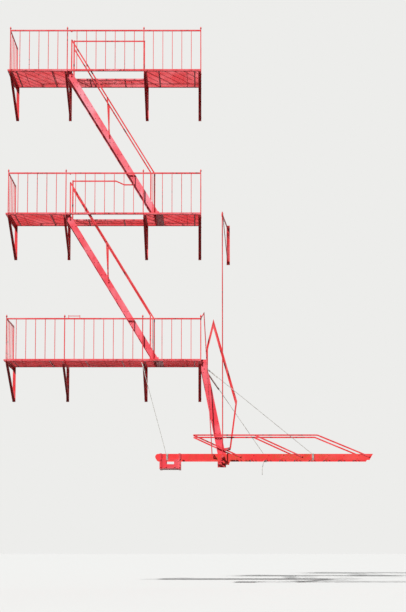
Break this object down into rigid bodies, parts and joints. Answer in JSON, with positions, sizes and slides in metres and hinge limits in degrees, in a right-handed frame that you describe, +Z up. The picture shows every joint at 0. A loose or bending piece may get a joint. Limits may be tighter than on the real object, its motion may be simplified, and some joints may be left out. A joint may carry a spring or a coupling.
{
  "type": "fire escape stair",
  "caption": "Wall-hung steel fire escape: railed platforms joined by open flights, a steep flight and a counterweighted swing stair that lowers to the ground.",
  "frame": {"origin": "the swing stair's pivot axis where it meets the wall face of the bearing plate", "axes": "+X right along the wall seen from the street, +Y into the wall, +Z up"},
  "size_m": [7.654, 1.1986, 9.416],
  "materials": {
    "red_paint": "brushed red oil paint, semi-gloss, a little faded",
    "cast_weight": "red-painted castings",
    "galvanised_wire": "pale galvanised wire rope"
  },
  "bodies": {
    "fixed_stair": {"upper_platform_frame": "red_paint", "upper_floor_bars": "red_paint", "upper_brackets": "red_paint", "upper_front_railing": "red_paint", "upper_left_railing": "red_paint", "upper_right_railing": "red_paint", "middle_platform_frame": "red_paint", "middle_floor_bars": "red_paint", "middle_brackets": "red_paint", "middle_front_railing": "red_paint", "middle_left_railing": "red_paint", "middle_right_railing": "red_paint", "lower_platform_frame": "red_paint", "lower_floor_bars": "red_paint", "lower_brackets": "red_paint", "lower_front_railing": "red_paint", "lower_left_railing": "red_paint", "lower_right_railing": "red_paint", "upper_stairwell_guard": "red_paint", "middle_stairwell_guard": "red_paint", "upper_flight_stringers": "red_paint", "upper_flight_treads": "red_paint", "upper_flight_handrails": "red_paint", "middle_flight_stringers": "red_paint", "middle_flight_treads": "red_paint", "middle_flight_handrails": "red_paint", "lower_flight_stringers": "red_paint", "lower_flight_treads": "red_paint", "lower_flight_handrails": "red_paint", "pivot_shaft": "red_paint", "pivot_wall_bracket": "red_paint", "gallows_bracket": "red_paint", "hanger_rod": "red_paint", "arm_rest_rod": "red_paint", "arm_stay_cable": "galvanised_wire", "near_stay_cable": "galvanised_wire", "far_stay_cable": "galvanised_wire"},
    "swing_stair": {"swing_near_beam": "red_paint", "swing_far_beam": "red_paint", "swing_treads": "red_paint", "swing_near_handrail": "red_paint", "swing_far_handrail": "red_paint", "counterweight_cradle": "red_paint", "counterweight_blocks": "cast_weight"}
  },
  "joints": [
    {"name": "swing_pivot", "type": "hinge", "parent": "fixed_stair", "child": "swing_stair", "pos_m": [0, -0.74, 0], "axis": [0, 1, 0], "range_deg": [0, 60], "deforming": ["arm_stay_cable", "near_stay_cable", "far_stay_cable"]}
  ]
}
